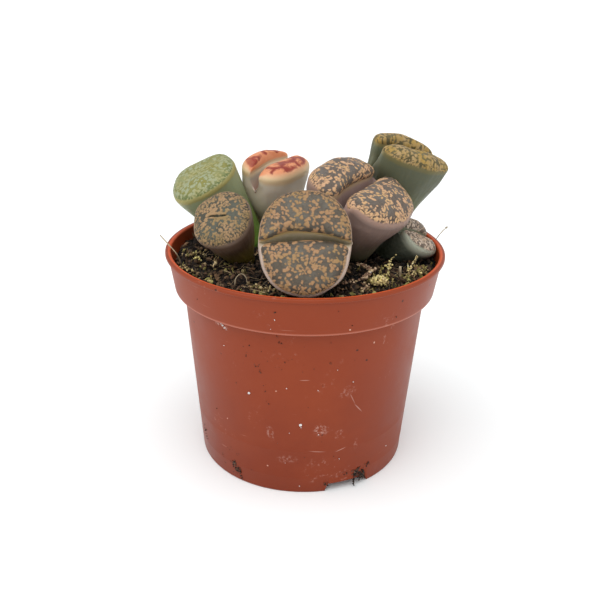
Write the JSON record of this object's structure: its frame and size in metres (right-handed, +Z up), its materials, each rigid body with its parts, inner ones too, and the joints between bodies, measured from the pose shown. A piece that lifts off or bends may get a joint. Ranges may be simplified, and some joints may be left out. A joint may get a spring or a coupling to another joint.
{
  "type": "potted lithops",
  "caption": "Cluster of stone plants, each two thick leaves with a patterned flat top and a fissure, rooted in peat in a small round nursery pot.",
  "frame": {"origin": "middle of the round pot on the plane that its foot ring stands on, which is also the middle of the bounding box at its base", "axes": "+Z up along the pot's axis; -Y is the near side, which the large front plant leans over; +X to the right as seen from there"},
  "size_m": [0.0572, 0.055, 0.0631],
  "materials": {
    "pot": "satin terracotta-brown moulded plastic, thin and slightly dusty",
    "soil": "matt dark peat with tan fibres and bark",
    "lithops_front": "satin mottled skin, tan islands on grey windows",
    "lithops_right_front": "satin mottled skin, tan islands on brown-grey windows",
    "lithops_orange": "satin skin, orange top with dark red branching lines on beige-grey sides",
    "lithops_right_back": "satin skin, ochre top with dark marks on grey-green sides",
    "lithops_right_small": "satin skin, pinkish brown mottled top on grey-green sides",
    "lithops_green": "satin skin, pale grey-green top with green and yellow marks",
    "lithops_left_small": "satin mottled skin, tan and olive islands on dark green-grey"
  },
  "bodies": {
    "root": {"pot": "pot", "soil": "soil", "lithops_front": "lithops_front", "lithops_right_front": "lithops_right_front", "lithops_orange": "lithops_orange", "lithops_right_back": "lithops_right_back", "lithops_right_small": "lithops_right_small", "lithops_green": "lithops_green", "lithops_left_small": "lithops_left_small"}
  },
  "joints": []
}
